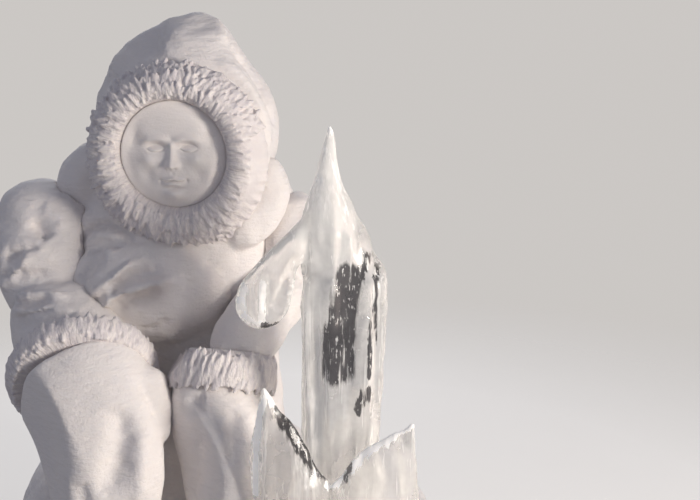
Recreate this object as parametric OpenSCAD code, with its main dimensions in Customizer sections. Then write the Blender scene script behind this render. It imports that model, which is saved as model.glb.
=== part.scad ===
// Carved snow figure in a fur-trimmed hooded parka, seated by a fire of clear ice flames.
// Left and right are as seen from the front. The front faces -Y and the floor is Z = 0.

/* [Base] */
// Width of the snow base, left to right
base_width = 1400; // [1360:10:1600]
// Depth of the snow base, front to back
base_depth = 1170; // [1160:10:1300]
// Height of the snow base
base_height = 150; // [100:5:220]
// Height of the sloping rim around the top of the base
base_rim = 35; // [20:1:60]

/* [Figure place] */
// Distance of the figure's upright axis to the left of the middle
figure_left = 130; // [110:5:150]
// Distance of the figure's upright axis behind the middle
figure_back = 235; // [215:5:245]
// Turn of the figure towards the fire
figure_turn = 7; // [4:1:10]

/* [Parka body] */
// Width of the coat where it sits on the base
hem_width = 660; // [620:5:690]
// Width of the coat over the chest
chest_width = 590; // [560:5:620]
// Depth of the coat where it sits on the base
hem_depth = 590; // [560:5:600]
// Depth of the coat over the chest
chest_depth = 470; // [440:5:500]
// Height of the neck above the base
neck_height = 1120; // [1100:5:1140]
// Depth of the soft folds around the coat
coat_fold = 13; // [5:1:18]
// Width of the rounded front of the coat
front_width = 484; // [460:4:500]
// Height of the rounded front of the coat
front_height = 360; // [340:4:380]
// How far the front of the coat stands out from the body's axis
front_reach = 345; // [330:5:360]
// Height of the middle of the rounded front above the base
front_level = 772; // [760:4:788]
// Height of the soft folds across the front
front_fold = 18; // [8:1:22]

/* [Head] */
// Height of the middle of the fur ruff above the base
head_level = 1190; // [1175:1:1205]
// Distance of the ruff's back plane in front of the body's axis
head_reach = 235; // [225:1:245]
// Distance of the head to the right of the body's axis
head_shift = 25; // [15:1:35]
// Nod of the head
head_nod = 6; // [3:1:9]
// Turn of the head to the left of the body
head_turn = 9; // [6:1:12]
// Widest diameter of the hood
hood_width = 564; // [552:2:580]
// Length of the hood from the ruff to the back of the head
hood_length = 440; // [420:5:460]
// Rise of the back of the hood towards its crown
hood_rise = 74; // [62:1:86]
// Height of the soft ridge over the crown
crown_ridge = 50; // [38:2:62]
// How far the hood's back hangs down over the shoulders
hood_drape = 70; // [40:5:90]
// Height of the folded seam beside the ruff
hood_seam = 15; // [6:1:20]
// Thickness of the rolled collar at the hood's right
collar_thickness = 118; // [100:2:128]

/* [Fur ruff] */
// Outer width of the ruff
ruff_width = 532; // [520:2:544]
// Outer height of the ruff
ruff_height = 548; // [536:2:560]
// Width of the fur band
ruff_band = 118; // [108:2:126]
// Depth of the ruff, back to front
ruff_depth = 98; // [84:2:110]
// Number of fur tufts around the ruff
ruff_tufts = 52; // [40:1:56]
// How far the tufts stand out at the rim
ruff_tuft_length = 26; // [10:1:32]
// Depth of the grooves between the tufts
ruff_groove = 10; // [4:1:13]

/* [Face] */
// Gap between the face and the ruff
face_gap = 1.5; // [1:0.5:5]
// Height of the face's rim in front of the hood's plane
face_rim = 50; // [42:1:56]
// Rise of the rounded face in front of its rim
face_rise = 38; // [30:1:46]
// Rise of the nose in front of the face
nose_rise = 24; // [16:1:30]

/* [Arms] */
// Distance of the middle of each shoulder from the body's axis
shoulder_reach = 270; // [260:2:280]
// Height of the middle of the left shoulder above the base
shoulder_level = 1108; // [1095:1:1120]
// How much lower the right shoulder is than the left
shoulder_drop = 58; // [40:2:70]
// Thickness of the shoulders
shoulder_thickness = 236; // [220:2:250]
// Height of the left sleeve's top above the base
left_sleeve_level = 1086; // [1070:2:1100]
// Height of the right sleeve's top above the base
right_sleeve_level = 1040; // [1025:1:1055]
// Distance of the left elbow from the body's axis
left_elbow_spread = 366; // [350:2:376]
// Distance of the right elbow from the body's axis
right_elbow_spread = 330; // [318:2:340]
// Height of the left elbow above the base
left_elbow_level = 745; // [735:5:760]
// Height of the right elbow above the base
right_elbow_level = 800; // [785:5:815]
// Thickness of the left sleeve at the elbow
left_elbow_thickness = 316; // [300:2:326]
// Thickness of the right sleeve at the elbow
right_elbow_thickness = 218; // [206:2:232]
// Thickness of the left sleeve at the wrist
left_wrist_thickness = 290; // [270:2:300]
// Thickness of the right sleeve at the wrist
right_wrist_thickness = 172; // [162:2:186]
// Height of the wrinkles inside the elbow
elbow_wrinkle = 12; // [5:1:16]

/* [Cuffs] */
// Distance of the left wrist from the body's axis
left_wrist_spread = 244; // [234:2:254]
// Distance of the right wrist from the body's axis
right_wrist_spread = 146; // [136:2:156]
// Distance of the wrists in front of the body's axis
wrist_reach = 410; // [400:2:420]
// Height of the left wrist above the base
left_wrist_level = 602; // [590:2:614]
// Height of the right wrist above the base
right_wrist_level = 634; // [620:2:648]
// Outer diameter of the left cuff
left_cuff_width = 400; // [388:2:412]
// Outer diameter of the right cuff
right_cuff_width = 300; // [290:2:312]
// Length of the left cuff along the sleeve
left_cuff_length = 74; // [64:2:84]
// Length of the right cuff along the sleeve
right_cuff_length = 104; // [94:2:112]
// Number of fur tufts around a cuff
cuff_tufts = 28; // [20:1:32]
// Height of the fur tufts
cuff_tuft_height = 16; // [6:1:20]

/* [Mittens] */
// Width of the left mitten
left_mitten_width = 344; // [330:2:352]
// Width of the right mitten
right_mitten_width = 268; // [256:2:276]
// Thickness of the mittens
mitten_thickness = 190; // [176:2:204]
// Distance of the mittens in front of the body's axis
mitten_reach = 642; // [630:2:650]
// Distance of the left mitten's end from the body's axis
left_mitten_spread = 178; // [170:2:188]
// Distance of the right mitten's end from the body's axis
right_mitten_spread = 130; // [122:2:138]
// Height of a mitten's finger end above the base
mitten_end = 120; // [100:5:150]
// Thickness of the thumbs
thumb_thickness = 92; // [82:2:102]

/* [Legs] */
// Thickness of the folded legs
leg_thickness = 316; // [296:4:330]
// Distance of each knee from the body's axis
knee_spread = 240; // [230:2:250]
// Distance of the knees in front of the body's axis
knee_reach = 560; // [546:2:574]

/* [Ice fire] */
// Distance of the fire's middle to the right of the middle
fire_right = 398; // [390:2:410]
// Distance of the fire's middle in front of the middle
fire_front = 350; // [340:2:356]
// Diameter of the hearth block
hearth_width = 460; // [440:4:470]
// Height of the hearth block
hearth_height = 60; // [40:2:80]
// Width of the fluted column at its top
column_width = 226; // [214:2:234]
// Width of the fluted column at its foot
column_foot = 190; // [180:2:210]
// Depth of the fluted column
column_depth = 132; // [120:2:144]
// Height of the fluted column above the hearth
column_height = 830; // [810:5:850]
// Number of flutes around the column
column_flutes = 8; // [6:1:10]
// Depth of the flutes
flute_depth = 8; // [4:1:11]
// Height of the tall flame above the column
tall_flame_height = 380; // [350:5:400]
// Width of the tall flame at its foot
tall_flame_width = 230; // [220:2:238]
// Reach of the drooping petal to the left of the column's middle
petal_reach = 214; // [202:2:222]
// Width of the drooping petal
petal_width = 150; // [136:2:160]
// Thickness of the drooping petal
petal_thickness = 62; // [50:2:72]
// Height of the left front flame above the hearth
left_flame_height = 566; // [540:2:590]
// Height of the right front flame above the hearth
right_flame_height = 474; // [450:2:496]
// Height of the rear flame above the hearth
rear_flame_height = 520; // [490:5:550]
// Width of the front flames at their widest
flame_width = 224; // [212:2:230]
// Thickness of the front flames
flame_thickness = 92; // [80:2:100]

/* [Hidden] */
snow = "linen";
ice = "lightcyan";
eps = 0.5;

// Vector and curve helpers
function unit(v) = v / norm(v);
function mix(a, b, t) = a + (b - a) * t;
function bump(x, width) = exp(-pow(x / width, 2));
function power(x, p) = sign(x) * pow(abs(x), p);
function bezier(p, t) = p[0] * pow(1 - t, 3) + 3 * p[1] * t * pow(1 - t, 2)
    + 3 * p[2] * t * t * (1 - t) + p[3] * t * t * t;
// Difference between two angles, from -180 to 180
function turn_to(a, b) = (a - b + 540) % 360 - 180;
// Fullness at place t along a form whose ends are rounded over shares a and b of its length
function rounding(t, a, b) =
    t < a ? sqrt(max(0, 1 - pow((a - t) / a, 2)))
    : t > 1 - b ? sqrt(max(0, 1 - pow((t - 1 + b) / b, 2))) : 1;
// The value for the left hand (-1) or the right hand (1)
function pick(hand, left, right) = hand < 0 ? left : right;
// Places along a form, closer together towards its ends
function places(steps) = [for (i = [0:steps]) 0.5 - 0.5 * cos(180 * (i + 0.3) / (steps + 0.6))];

// Closed solid through a list of rings that all have the same number of points
module skin(rings) {
    n = len(rings[0]);
    m = len(rings);
    polyhedron(
        [for (ring = rings) for (point = ring) point],
        concat(
            [[for (i = [0:n - 1]) i]],
            [for (j = [0:m - 2]) for (i = [0:n - 1]) let (k = (i + 1) % n)
                each [[j * n + i, (j + 1) * n + i, j * n + k],
                      [j * n + k, (j + 1) * n + i, (j + 1) * n + k]]],
            [[for (i = [n - 1:-1:0]) (m - 1) * n + i]]));
}

// Closed ring-shaped solid, with a list of sections around it
module ring_skin(sections) {
    n = len(sections[0]);
    m = len(sections);
    polyhedron(
        [for (section = sections) for (point = section) point],
        [for (j = [0:m - 1]) for (i = [0:n - 1]) let (k = (i + 1) % n, l = (j + 1) % m)
            each [[j * n + i, j * n + k, l * n + i], [j * n + k, l * n + k, l * n + i]]]);
}

// One ring of a soft form: centre, direction along the form, and half sizes across it
function soft_ring(centre, along, lift, half_width, half_depth, shape, sides, fold) =
    let (side = unit(cross(lift, along)), up = cross(along, side))
    [for (i = [0:sides - 1])
        let (a = 360 * i / sides, k = 1 + fold(a))
        centre + side * half_width * k * power(cos(a), 2 / shape)
            + up * half_depth * k * power(sin(a), 2 / shape)];

// Soft form along a curve: half sizes are functions of the place along it, and fold adds
// a share of the size for each place and angle
module soft_form(curve, half_width, half_depth, lift, sides, steps, start = 0.3, end = 0.3,
        shape = 2.2, fold = function(t, a) 0) {
    small = 0.001;
    skin([for (t = places(steps))
        soft_ring(
            bezier(curve, t),
            unit(bezier(curve, t + small) - bezier(curve, t - small)),
            lift,
            half_width(t) * rounding(t, start, end),
            half_depth(t) * rounding(t, start, end),
            shape, sides, function(a) fold(t, a))]);
}

// Places where the figure and its head are modelled
module at_figure() {
    translate([-figure_left, figure_back, base_height]) rotate([0, 0, figure_turn]) children();
}
head_place = [head_shift, -head_reach, head_level];
module at_head() {
    at_figure() translate(head_place) rotate([90 + head_nod, 0, -head_turn]) children();
}

// Snow base
base_corner = 4;
base_sides = 48;
function base_outline(inset) = [for (i = [0:base_sides - 1])
    let (a = 360 * i / base_sides)
    [(base_width / 2 - inset) * power(cos(a), 2 / base_corner),
     (base_depth / 2 - inset) * power(sin(a), 2 / base_corner)]];
module snow_base() {
    wall = base_height - base_rim;
    color(snow) skin([
        [for (p = base_outline(0)) [p[0], p[1], 0]],
        [for (p = base_outline(0)) [p[0], p[1], wall]],
        [for (p = base_outline(base_rim * 0.3)) [p[0], p[1], wall + base_rim * 0.7]],
        [for (p = base_outline(base_rim)) [p[0], p[1], base_height]]]);
}

// Parka body, wider at its hem and closing in to the neck, with soft upright folds
body_sides = 32;
body_heights = [0, 0.03, 0.1, 0.19, 0.3, 0.42, 0.54, 0.66, 0.77, 0.86, 0.93, 1];
body_lean = 0.08 * hem_width;
function body_half_width(h) = lookup(h, [
    [0, hem_width * 0.475], [0.03, hem_width * 0.5], [0.19, hem_width * 0.485],
    [0.42, mix(hem_width, chest_width, 0.6) * 0.485], [0.66, chest_width * 0.5],
    [0.77, chest_width * 0.53], [0.86, chest_width * 0.52], [0.93, chest_width * 0.43],
    [1, chest_width * 0.25]]);
function body_half_depth(h) = lookup(h, [
    [0, hem_depth * 0.475], [0.03, hem_depth * 0.5], [0.3, hem_depth * 0.465],
    [0.54, mix(hem_depth, chest_depth, 0.7) * 0.48], [0.77, chest_depth * 0.5],
    [0.9, chest_depth * 0.45], [1, chest_depth * 0.24]]);
function body_fold(a, h) = coat_fold * (sin(7 * a + 50 + 40 * h) * pow(1 - h, 1.4)
    + 0.7 * sin(5 * a + 260 * h) * sin(180 * h));
module body_form() {
    skin([for (h = body_heights)
        let (half_width = body_half_width(h), half_depth = body_half_depth(h))
        [for (i = [0:body_sides - 1])
            let (a = 360 * i / body_sides, fold = body_fold(a, h))
            [(half_width + fold) * power(cos(a), sin(a) > 0 ? 0.73 : 0.84),
             (half_depth + fold) * power(sin(a), sin(a) > 0 ? 0.86 : 0.9) - body_lean * h * h,
             neck_height * h]]]);
}
module parka_body() {
    color(snow) difference() {
        at_figure() body_form();
        hood_form();
    }
}

// Rounded front of the coat, with soft folds rising to the right at its upper left
front_centre = [-0.14 * front_width, -0.39 * chest_depth, front_level];
front_sides = 30;
front_steps = 14;
// Fold that rises to the right: its place along the width, slope, level and widths
function front_ridge(x, level, middle, slope, at, reach, thickness) =
    bump((level - at * front_height - slope * (x - middle * front_width)) / thickness, 1)
    * bump((x - middle * front_width) / reach, 1);
module front_form() {
    depth = front_reach + front_centre[1];
    thin = 0.052 * front_height;
    at_figure() translate(front_centre) skin([for (t = places(front_steps))
        let (level = front_height * (t - 0.5), full = rounding(t, 0.5, 0.5))
        [for (i = [0:front_sides - 1])
            let (a = 360 * i / front_sides,
                 x = front_width / 2 * power(full, 0.86) * power(cos(a), 0.92),
                 y = depth * full * power(sin(a), 0.96),
                 fold = front_fold * (y < 0 ? full : 0)
                     * (front_ridge(x, level, -0.2, 0.71, 0.158, 0.2 * front_width, thin)
                     + front_ridge(x, level, -0.1, 0.33, 0.07, 0.26 * front_width, thin)
                     - 0.8 * front_ridge(x, level, -0.12, 0.5, -0.03, 0.24 * front_width, thin)))
            [x, y - fold, level]]]);
}
module parka_front() {
    color(snow) difference() {
        front_form();
        at_figure() body_form();
        hood_form();
        ruff_backing();
    }
}

// Hood: closed rounded shell with a ridge over the crown, flat where the ruff sits on it
hood_sides = 36;
hood_places = [0, 0.05, 0.09, 0.13, 0.17, 0.24, 0.33, 0.43, 0.55, 0.68, 0.8, 0.9, 0.96, 0.995];
hood_widest = 0.4;
hood_mouth = 0.44 * ruff_width;
ridge_angle = 75;
seam_angle = 32;
seam_place = 0.13;
function hood_radius(t) = t < hood_widest
    ? mix(hood_mouth, hood_width / 2, sin(90 * t / hood_widest))
    : hood_width / 2 * sqrt(max(0, 1 - pow((t - hood_widest) / (1 - hood_widest), 2)));
module hood_form() {
    at_head() mirror([0, 0, 1]) skin([for (t = hood_places)
        [for (i = [0:hood_sides - 1])
            let (a = 360 * i / hood_sides,
                 ridge = crown_ridge * bump(turn_to(a, ridge_angle), 21) * sin(180 * pow(t, 0.7)),
                 seam = hood_seam * bump(turn_to(a, seam_angle), 52) * bump(t - seam_place, 0.03),
                 drape = hood_drape * bump(turn_to(a, 270), 60) * bump(t - 0.72, 0.26) * (1 - t * t),
                 slope = 0.05 * hood_width * bump(turn_to(a, 44), 24) * sin(180 * pow(t, 0.7)),
                 r = hood_radius(t) + ridge + seam + 2 * drape - slope)
            [r * cos(a) - 0.06 * hood_width * t,
             r * sin(a) + hood_rise * sin(150 * pow(t, 0.8)), hood_length * t]]]);
}
module hood() {
    color(snow) hood_form();
}

// Rolled collar where the hood meets the right shoulder
module collar_form() {
    at_figure() soft_form(
        [head_place + [0.42 * hood_width, 0.14 * hood_width, -0.05 * hood_width],
         head_place + [0.53 * hood_width, 0.15 * hood_width, -0.2 * hood_width],
         head_place + [0.44 * hood_width, 0.06 * hood_width, -0.39 * hood_width],
         head_place + [0.25 * hood_width, -0.01 * hood_width, -0.48 * hood_width]],
        function(t) collar_thickness * 0.52, function(t) collar_thickness * 0.48,
        [0, 1, 0.2], 14, 8, 0.3, 0.4);
}
module hood_collar() {
    color(snow) difference() {
        collar_form();
        hood_form();
        at_figure() body_form();
        front_form();
        ruff_backing();
    }
}

// Fur ruff: two staggered layers of pointed tufts in front of the hood, flat at its back
tuft_size = rands(0.5, 1, 64, 11);
// Size of the tuft in column i of a layer: 0 in the grooves between the tufts
function tuft(i, layer = 0) = (i + layer) % 2 == 0 ? tuft_size[(i + 7 * layer) % 64] : 0;
// Section of the fur band from its rim inwards: share of the band's width from the inner edge,
// share of its depth, the layer of tufts there and the share of their full size
ruff_section = [[1, 0, 0, 0.2], [1, 0.22, 0, 1], [0.86, 0.46, 0, 0.7], [0.7, 0.62, 0, 0.2],
    [0.64, 0.82, 1, 1], [0.38, 1, 1, 0.55], [0.12, 0.95, 1, 0.15], [0, 0.62, 0, 0], [0, 0, 0, 0]];
ruff_oval = ruff_height / ruff_width;
module ruff_form() {
    inner = ruff_width / 2 - ruff_band;
    columns = 2 * ruff_tufts;
    at_head() ring_skin([for (i = [0:columns - 1])
        let (a = 360 * i / columns)
        [for (p = ruff_section)
            let (size = tuft(i, p[2]),
                 r = inner + ruff_band * p[0] + ruff_tuft_length * p[3] * (size - 0.5),
                 z = ruff_depth * p[1] + ruff_groove * p[3] * (size > 0 ? 0.8 * size : -1)
                     * (p[1] > 0 ? 1 : 0))
            [r * cos(a), ruff_oval * r * sin(a), z]]]);
}
module fur_ruff() {
    color("seashell") ruff_form();
}
// Space that the ruff fills, with its tufts, which the forms under it make room for
module ruff_backing() {
    at_head() translate([0, 0, -eps]) cylinder(h = ruff_depth * 0.8, r = ruff_height / 2, $fn = 48);
}

// Face: rounded disc inside the ruff with calm, evenly spaced features
face_radius = ruff_width / 2 - ruff_band - face_gap;
face_unit = face_radius / 150;
face_sides = 36;
face_rings = 12;
function oval_bump(x, y, wx, wy) = exp(-pow(x / wx, 2) - pow(y / wy, 2));
function face_relief(x, y) = let (s = abs(x), nose_line = max(0, min(1, (42 - y) / 74)))
    8 * oval_bump(s - 34, y - 50, 34, 13)
    - 13 * oval_bump(s - 50, y - 26, 26, 15)
    + 8 * oval_bump(s - 50, y - 22, 19, 9)
    + nose_rise * pow(nose_line, 0.8) * bump(x, 15) * (y < -32 ? bump(y + 32, 9) : 1)
        * (y > 42 ? 0 : 1)
    + 9 * oval_bump(s - 15, y + 30, 9, 9)
    + 9 * oval_bump(s - 62, y + 16, 34, 30)
    + 10 * oval_bump(x, y + 58, 27, 6.5)
    + 9 * oval_bump(x, y + 73, 22, 7)
    - 7 * oval_bump(x, y + 65.5, 30, 3)
    - 5 * oval_bump(x, y + 86, 24, 7)
    + 13 * oval_bump(x, y + 108, 30, 17);
module face() {
    color("linen") at_head() skin(concat(
        [[for (i = [0:face_sides - 1]) let (a = 360 * i / face_sides)
            [face_radius * cos(a), ruff_oval * face_radius * sin(a), 0]]],
        [for (j = [0:face_rings])
            let (q = 1 - 0.985 * j / face_rings, r = face_radius * (0.02 + 0.98 * sin(90 * q)))
            [for (i = [0:face_sides - 1])
                let (a = 360 * i / face_sides, x = r * cos(a), y = r * sin(a),
                     dome = face_rise * sqrt(max(0, 1 - pow(r / face_radius, 2.6))))
                [x, ruff_oval * y, face_rim + dome
                    + face_unit * face_relief(x / face_unit, y / face_unit)
                    * min(1, 4 * (1 - r / face_radius))]]]));
}

// Sleeves, cuffs and mittens of one arm; hand is -1 on the left and 1 on the right
function shoulder_place(hand) =
    [hand * shoulder_reach, 0, shoulder_level - pick(hand, 0, shoulder_drop)];
function sleeve_thickness(hand) = pick(hand, left_elbow_thickness, right_elbow_thickness);
function elbow_place(hand) = [hand * pick(hand, left_elbow_spread, right_elbow_spread),
    -0.36 * wrist_reach, pick(hand, left_elbow_level, right_elbow_level)];
function sleeve_top(hand) = [elbow_place(hand)[0] + hand * 0.04 * sleeve_thickness(hand),
    pick(hand, 0.02, -0.06) * wrist_reach, pick(hand, left_sleeve_level, right_sleeve_level)];
function wrist_place(hand) = [hand * pick(hand, left_wrist_spread, right_wrist_spread),
    -wrist_reach, pick(hand, left_wrist_level, right_wrist_level)];
function cuff_width(hand) = pick(hand, left_cuff_width, right_cuff_width);
function cuff_length(hand) = pick(hand, left_cuff_length, right_cuff_length);
function cuff_axis(hand) = unit(pick(hand, [0.165, -0.875, -0.46], [-0.12, -0.34, -0.93]));
function cuff_side(hand) = unit(cross([0, 0, 1], cuff_axis(hand)));
function cuff_up(hand) = cross(cuff_axis(hand), cuff_side(hand));
function cuff_front(hand) = wrist_place(hand) + cuff_axis(hand) * cuff_length(hand);

module shoulder_form(hand) {
    middle = shoulder_place(hand);
    radius = shoulder_thickness / 2;
    at_figure() soft_form(
        [middle + radius * [-hand * 1.4, 0.15, -0.15], middle + radius * [-hand * 0.45, 0.1, 0.4],
         middle + radius * [hand * 0.2, 0, 0], middle + radius * [hand * 0.12, -0.1, -1.3]],
        function(t) radius * mix(0.9, 1, t), function(t) radius * mix(1.15, 1, t),
        [0, 1, 0], 16, 8, 0.35, 0.4, 2.1,
        function(t, a) 0.02 * sin(3 * a + 200 * t));
}
// Wrinkles around the bend of a sleeve
function wrinkle(hand, t, a, place, width) =
    elbow_wrinkle / sleeve_thickness(hand) * 2 * sin(2 * a + 900 * t) * bump(t - place, width);
module upper_sleeve_form(hand) {
    thick = sleeve_thickness(hand);
    top = sleeve_top(hand);
    end = elbow_place(hand);
    at_figure() soft_form(
        [top, top + thick * [hand * 0.12, -0.02, -0.45],
         end + thick * [hand * 0.13, 0.12, 0.3], end + thick * [-hand * 0.03, -0.2, -0.18]],
        function(t) thick * mix(0.47, 0.5, t), function(t) thick * mix(0.46, 0.48, t),
        [0, 1, 0], 18, 11, 0.24, 0.4, 2.3,
        function(t, a) wrinkle(hand, t, a, 0.74, 0.2));
}
module lower_sleeve_form(hand) {
    thick = sleeve_thickness(hand);
    wrist = pick(hand, left_wrist_thickness, right_wrist_thickness);
    end = wrist_place(hand) + pick(hand, [0, 0, 0], 0.24 * wrist * [1, 0.3, -0.35]);
    start = elbow_place(hand);
    at_figure() soft_form(
        [start, start + (end - start) * 0.3 + thick * [hand * 0.08, 0, -0.07],
         end - cuff_axis(hand) * 0.3 * wrist, end],
        function(t) mix(thick * 0.94, wrist, t) / 2, function(t) mix(thick * 0.9, wrist, t) / 2,
        [0, 0, 1], 18, 9, 0.34, 0.0001, 2.1,
        function(t, a) wrinkle(hand, -t, a, -0.34, 0.22));
}
// Fur cuff: a thick disc with tufts around it, flat where sleeve and mitten meet it
cuff_section = [[0, 0.8, 0.2], [0.16, 0.93, 1], [0.5, 1, 1], [0.86, 0.96, 0.7], [1, 0.88, 0.2]];
module cuff_form(hand) {
    columns = 2 * cuff_tufts;
    at_figure() skin([for (p = cuff_section)
        [for (i = [0:columns - 1])
            let (a = 360 * i / columns,
                 r = cuff_width(hand) / 2 * p[1] + (tuft(i) - 0.5) * cuff_tuft_height * p[2])
            wrist_place(hand) + cuff_axis(hand) * cuff_length(hand) * p[0]
                + cuff_side(hand) * r * cos(a) + cuff_up(hand) * r * sin(a)]]);
}
function mitten_width(hand) = pick(hand, left_mitten_width, right_mitten_width);
function mitten_foot(hand) =
    [hand * pick(hand, left_mitten_spread, right_mitten_spread), -0.935 * mitten_reach, mitten_end];
function mitten_knuckle(hand) = [mitten_foot(hand)[0], -1.01 * mitten_reach,
    mix(mitten_end, wrist_place(hand)[2], pick(hand, 0.66, 0.52))];
// Mitten with a soft edge along its left front and a hollow in its palm side
module mitten_form(hand) {
    width = mitten_width(hand);
    front = cuff_front(hand);
    opening = cuff_width(hand) * 0.88;
    at_figure() soft_form(
        [front, front + 0.22 * width * (cuff_axis(hand) + pick(hand, [0.18, 0, 0], [0, -0.5, 0])),
         mitten_knuckle(hand), mitten_foot(hand)],
        function(t) mix(opening, width, min(1, t / 0.3)) / 2,
        function(t) mix(opening * 0.94, mitten_thickness * mix(1.08, 0.94, t), min(1, t / 0.42)) / 2,
        [0, -1, 0.35], 22, 11, 0.0001, 0.34, 2.3,
        function(t, a) (0.055 * bump(turn_to(a, 128), 20) - 0.05 * bump(turn_to(a, 165), 22)
            - 0.06 * bump(turn_to(a, 84), 20)) * bump(t - 0.5, 0.26));
}
module thumb_form(hand) {
    size = cuff_width(hand);
    side = -hand * size * cuff_side(hand);
    up = size * cuff_up(hand);
    along = size * cuff_axis(hand);
    front = cuff_front(hand) + pick(hand, 0.12 * side - 0.22 * up + 0.06 * along,
                                  0.05 * side - 0.6 * up + 0.1 * along);
    reach = pick(hand, 0.76, 1) * along;
    at_figure() soft_form(
        [front + 0.26 * side + 0.33 * up, front + 0.38 * side + 0.36 * up + 0.12 * reach,
         front + 0.37 * side + 0.19 * up + 0.3 * reach, front + 0.29 * side - 0.04 * up + 0.43 * reach],
        function(t) thumb_thickness * mix(0.54, 0.42, t), function(t) thumb_thickness * 0.5,
        [0, -1, 0.35], 14, 8, 0.25, 0.35);
}
// Folded leg under a mitten, flat on the base
module leg_form(hand) {
    at_figure() difference() {
        soft_form(
            [[hand * 0.8 * knee_spread, 0.11 * knee_reach, 0.4 * leg_thickness],
             [hand * 1.42 * knee_spread, -0.29 * knee_reach, 0.47 * leg_thickness],
             [hand * 1.34 * knee_spread, -0.7 * knee_reach, 0.56 * leg_thickness],
             [hand * knee_spread, -knee_reach, 0.32 * leg_thickness]],
            function(t) leg_thickness / 2 * mix(1, 0.94, t), function(t) leg_thickness / 2,
            [0, 0, 1], 20, 9, 0.25, 0.34, 2.3,
            function(t, a) 0.02 * sin(3 * a + 420 * t));
        translate([-2 * hem_width, -2 * hem_width, -2 * leg_thickness])
            cube([4 * hem_width, 4 * hem_width, 2 * leg_thickness]);
    }
}

module shoulder_node(hand) {
    color(snow) difference() {
        shoulder_form(hand);
        at_figure() body_form();
        hood_form();
        if (hand > 0) collar_form();
    }
}
module upper_sleeve_node(hand) {
    color(snow) difference() {
        upper_sleeve_form(hand);
        at_figure() body_form();
        shoulder_form(hand);
        front_form();
        if (hand > 0) collar_form();
    }
}
module lower_sleeve_node(hand) {
    color(snow) difference() {
        lower_sleeve_form(hand);
        at_figure() body_form();
        upper_sleeve_form(hand);
        front_form();
        cuff_form(hand);
    }
}
module cuff_node(hand) {
    color("seashell") difference() {
        cuff_form(hand);
        leg_form(hand);
    }
}
module mitten_node(hand) {
    color(snow) difference() {
        mitten_form(hand);
        leg_form(hand);
        thumb_form(hand);
    }
}
module thumb_node(hand) {
    color(snow) difference() {
        thumb_form(hand);
        cuff_form(hand);
        at_figure() body_form();
        if (hand < 0) {
            mitten_form(1);
            thumb_form(1);
        }
    }
}
module leg_node(hand) {
    color(snow) difference() {
        leg_form(hand);
        at_figure() body_form();
        if (hand > 0) hearth_form();
    }
}
module left_shoulder() { shoulder_node(-1); }
module right_shoulder() { shoulder_node(1); }
module left_upper_sleeve() { upper_sleeve_node(-1); }
module right_upper_sleeve() { upper_sleeve_node(1); }
module left_lower_sleeve() { lower_sleeve_node(-1); }
module right_lower_sleeve() { lower_sleeve_node(1); }
module left_cuff() { cuff_node(-1); }
module right_cuff() { cuff_node(1); }
module left_mitten() { mitten_node(-1); }
module right_mitten() { mitten_node(1); }
module left_thumb() { thumb_node(-1); }
module right_thumb() { thumb_node(1); }
module left_leg() { leg_node(-1); }
module right_leg() { leg_node(1); }

// Ice fire, on a hearth block of ice
hearth_top = base_height + hearth_height;
module at_fire(height = 0) {
    translate([fire_right, -fire_front, hearth_top + height]) children();
}
module hearth_form() {
    sides = 14;
    at_fire(-hearth_height) skin([for (h = [[0, 1], [0.75, 0.97], [1, 0.92]])
        [for (i = [0:sides - 1]) let (a = 360 * (i + 0.5) / sides)
            [hearth_width / 2 * h[1] * cos(a) * (1 + 0.03 * sin(5 * a)),
             hearth_width / 2 * 0.86 * h[1] * sin(a), hearth_height * h[0]]]]);
}
module ice_hearth() {
    color(ice) hearth_form();
}
column_sides = 32;
module column_form() {
    at_fire() skin([for (h = [0, 0.06, 0.25, 0.5, 0.75, 0.94, 1])
        let (half = mix(column_foot, column_width, h) / 2 * (h < 0.05 ? 1.05 : 1))
        [for (i = [0:column_sides - 1])
            let (a = 360 * i / column_sides,
                 flute = flute_depth * cos(column_flutes * (a + 14 * h)))
            [(half - flute_depth + flute) * power(cos(a), 0.8) + mix(-0.05, 0.03, h) * column_width,
             (column_depth / 2 + flute) * power(sin(a), 0.8) + 0.15 * column_depth,
             column_height * h]]]);
}
module ice_column() {
    color(ice) column_form();
}
// Ice blade: sharp-edged rings, each with its share of the height, and the place of its
// middle and its half width as shares of the flame's width
module flame_form(outline, height, width, thickness) {
    sides = 18;
    skin([for (p = outline)
        let (half_depth = thickness / 2 * lookup(p[0], [[0, 0.92], [0.3, 1], [0.7, 0.6], [1, 0.04]]))
        [for (i = [0:sides - 1])
            let (a = 360 * i / sides, k = 1 + 0.05 * cos(6 * a))
            [width * (p[1] + k * p[2] * power(cos(a), 1.3)),
             k * half_depth * power(sin(a), 1.3), height * p[0]]]]);
}
module tall_flame_form() {
    at_fire(column_height) translate([0, 0.15 * column_depth, 0]) flame_form(
        [[0, 0.03, 0.468], [0.04, 0.026, 0.468], [0.18, -0.03, 0.42], [0.32, -0.1, 0.353],
         [0.4, -0.12, 0.297], [0.49, -0.134, 0.246], [0.585, -0.147, 0.185], [0.66, -0.147, 0.147],
         [0.75, -0.142, 0.108], [0.87, -0.138, 0.056], [1, -0.12, 0.006]],
        tall_flame_height, tall_flame_width, column_depth * 1.04);
}
module tall_flame() {
    color(ice) tall_flame_form();
}
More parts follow.
